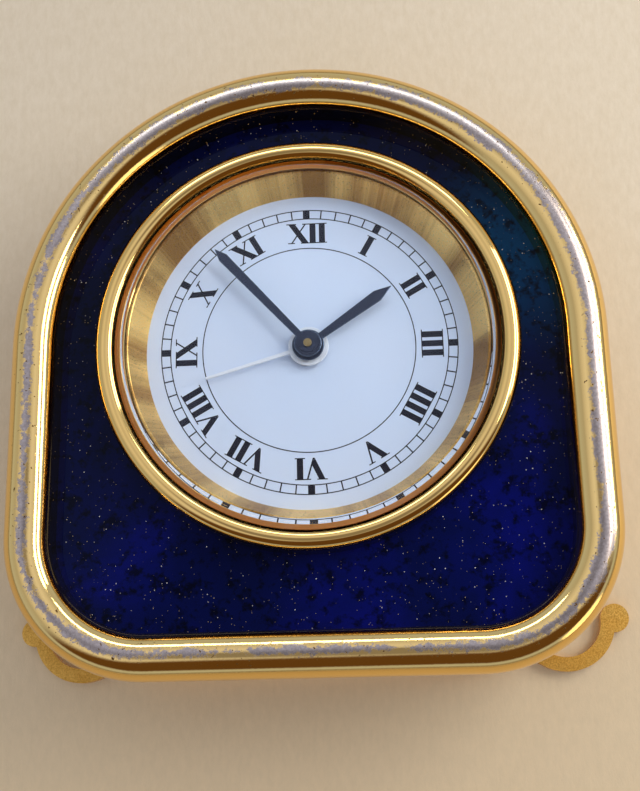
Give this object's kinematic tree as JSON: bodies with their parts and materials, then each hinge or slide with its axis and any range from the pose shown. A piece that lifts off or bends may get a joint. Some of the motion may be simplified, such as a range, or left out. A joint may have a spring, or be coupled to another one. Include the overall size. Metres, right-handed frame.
{
  "type": "desk alarm clock",
  "caption": "Round-topped desk alarm clock in a gold-tone case with a blue panel, Roman dial, three hands, folding hooked feet and a battery movement, lying on its back.",
  "frame": {"origin": "on the axis of the hands, in the plane of the back that the clock lies on", "axes": "+Z out through the dial, +Y towards twelve o'clock, +X towards three o'clock"},
  "size_m": [0.092, 0.0896, 0.0265],
  "materials": {
    "polished_gold": "polished gold plate with worn patches",
    "satin_gold": "satin brushed gold plate",
    "blue_lacquer": "glossy dark blue lacquer with gold flecks",
    "crystal_glass": "clear polished glass",
    "dial_white": "matt white enamel paint with printed figures",
    "blued_steel": "satin blue-black",
    "silver_paint": "satin silver",
    "aged_brass": "turned brass",
    "steel": "turned steel",
    "spring_steel": "rolled strip",
    "silicon_iron": "stamped",
    "magnet": "ground",
    "copper_wire": "enamelled copper winding",
    "brass_wheel": "cut brass",
    "movement_plastic": "moulded",
    "clear_grey_plastic": "moulded",
    "board_green": "solder mask",
    "chip_black": "moulded",
    "cell_nickel": "nickel plated",
    "rubber_black": "moulded rubber",
    "gasket": "translucent gasket"
  },
  "bodies": {
    "case": {"rim_frame": "polished_gold", "case_band": "satin_gold", "face_panel": "blue_lacquer", "back_cover": "satin_gold", "cover_screws": "steel", "frame_screws": "steel", "bezel": "polished_gold", "bezel_clamp_ring": "aged_brass", "crystal": "crystal_glass", "crystal_gasket": "gasket", "flange_ring": "satin_gold", "dial": "dial_white", "minute_wheel_post": "steel", "back_plate": "movement_plastic", "front_plate": "movement_plastic", "plate_pillars": "aged_brass", "plate_screws": "steel", "movement_holder": "clear_grey_plastic", "holder_screws": "steel", "stator": "silicon_iron", "coil_core": "silicon_iron", "coil_winding": "copper_wire", "circuit_board": "board_green", "circuit_chip": "chip_black", "quartz_can": "cell_nickel", "alarm_contact_leaf": "spring_steel", "buzzer_disc": "aged_brass", "battery": "cell_nickel", "battery_cup": "movement_plastic", "negative_contact": "spring_steel", "positive_contact": "spring_steel", "alarm_switch_box": "movement_plastic", "hinge_plate": "satin_gold", "hinge_plate_screws": "steel", "hinge_pins": "steel", "rest_pads": "rubber_black"},
    "minute": {"minute_arbor": "aged_brass", "minute_hand": "blued_steel", "hand_cap": "blued_steel", "clutch_spring": "spring_steel"},
    "minute_wheel": {"minute_wheel": "brass_wheel"},
    "hour": {"hour_wheel": "brass_wheel", "hour_hand": "blued_steel"},
    "time_setting": {"time_setting_shaft": "steel", "time_setting_knob": "polished_gold"},
    "alarm": {"alarm_wheel": "brass_wheel", "alarm_hand": "silver_paint"},
    "alarm_setting": {"alarm_setting_shaft": "steel", "alarm_setting_knob": "polished_gold"},
    "rotor": {"rotor_pinion": "steel", "rotor_magnet": "magnet"},
    "fifth_wheel": {"fifth_wheel": "clear_grey_plastic"},
    "fourth_wheel": {"fourth_wheel": "brass_wheel"},
    "third_wheel": {"third_wheel": "brass_wheel"},
    "centre_wheel": {"centre_wheel": "brass_wheel"},
    "battery_hatch": {"battery_hatch": "satin_gold"},
    "alarm_switch": {"alarm_switch_slider": "chip_black"},
    "left_leg": {"left_leg": "satin_gold"},
    "right_leg": {"right_leg": "satin_gold"}
  },
  "joints": [
    {"name": "minute_turn", "type": "hinge", "parent": "case", "child": "minute", "pos_m": [0, 0, 0.015], "axis": [0, 0, 1], "continuous": true},
    {"name": "minute_wheel_turn", "type": "hinge", "parent": "case", "child": "minute_wheel", "pos_m": [-0.00564, 0.00205, 0.015], "axis": [0, 0, 1], "continuous": true},
    {"name": "hour_turn", "type": "hinge", "parent": "case", "child": "hour", "pos_m": [0, 0, 0.016], "axis": [0, 0, 1], "continuous": true},
    {"name": "time_setting_turn", "type": "hinge", "parent": "case", "child": "time_setting", "pos_m": [-0.01128, 0.0041, 0.01], "axis": [0, 0, 1], "continuous": true},
    {"name": "alarm_turn", "type": "hinge", "parent": "case", "child": "alarm", "pos_m": [0, 0, 0.017], "axis": [0, 0, 1], "continuous": true},
    {"name": "alarm_setting_turn", "type": "hinge", "parent": "case", "child": "alarm_setting", "pos_m": [0.01128, 0.0041, 0.01], "axis": [0, 0, 1], "continuous": true},
    {"name": "rotor_turn", "type": "hinge", "parent": "case", "child": "rotor", "pos_m": [0.00721, -0.00848, 0.008], "axis": [0, 0, 1], "continuous": true},
    {"name": "fifth_wheel_turn", "type": "hinge", "parent": "case", "child": "fifth_wheel", "pos_m": [0.00335, -0.01308, 0.0095], "axis": [0, 0, 1], "continuous": true},
    {"name": "fourth_wheel_turn", "type": "hinge", "parent": "case", "child": "fourth_wheel", "pos_m": [-0.00354, -0.01186, 0.0104], "axis": [0, 0, 1], "continuous": true},
    {"name": "third_wheel_turn", "type": "hinge", "parent": "case", "child": "third_wheel", "pos_m": [-0.00779, -0.0045, 0.0113], "axis": [0, 0, 1], "continuous": true},
    {"name": "centre_wheel_turn", "type": "hinge", "parent": "case", "child": "centre_wheel", "pos_m": [0, 0, 0.012], "axis": [0, 0, 1], "continuous": true},
    {"name": "battery_hatch_turn", "type": "hinge", "parent": "case", "child": "battery_hatch", "pos_m": [0, 0.0145, 0.003], "axis": [0, 0, 1], "range_deg": [0, 40]},
    {"name": "alarm_switch_slide", "type": "slide", "parent": "case", "child": "alarm_switch", "axis": [1, 0, 0], "range_m": [0, 0.003]},
    {"name": "left_leg_fold", "type": "hinge", "parent": "case", "child": "left_leg", "pos_m": [-0.0085, -0.021, 0.001], "axis": [0, -1, 0], "range_deg": [0, 72]},
    {"name": "right_leg_fold", "type": "hinge", "parent": "case", "child": "right_leg", "pos_m": [0.0085, -0.021, 0.001], "axis": [0, 1, 0], "range_deg": [0, 72]}
  ],
  "couplings": [
    {"joint": "minute_wheel_turn", "follows": "minute_turn", "ratio": -0.33333},
    {"joint": "hour_turn", "follows": "minute_turn", "ratio": 0.083333},
    {"joint": "time_setting_turn", "follows": "minute_turn", "ratio": 1},
    {"joint": "alarm_setting_turn", "follows": "alarm_turn", "ratio": -2},
    {"joint": "third_wheel_turn", "follows": "fourth_wheel_turn", "ratio": -0.13333},
    {"joint": "centre_wheel_turn", "follows": "fourth_wheel_turn", "ratio": 0.016667},
    {"joint": "fifth_wheel_turn", "follows": "fourth_wheel_turn", "ratio": -6},
    {"joint": "rotor_turn", "follows": "fourth_wheel_turn", "ratio": 30}
  ]
}
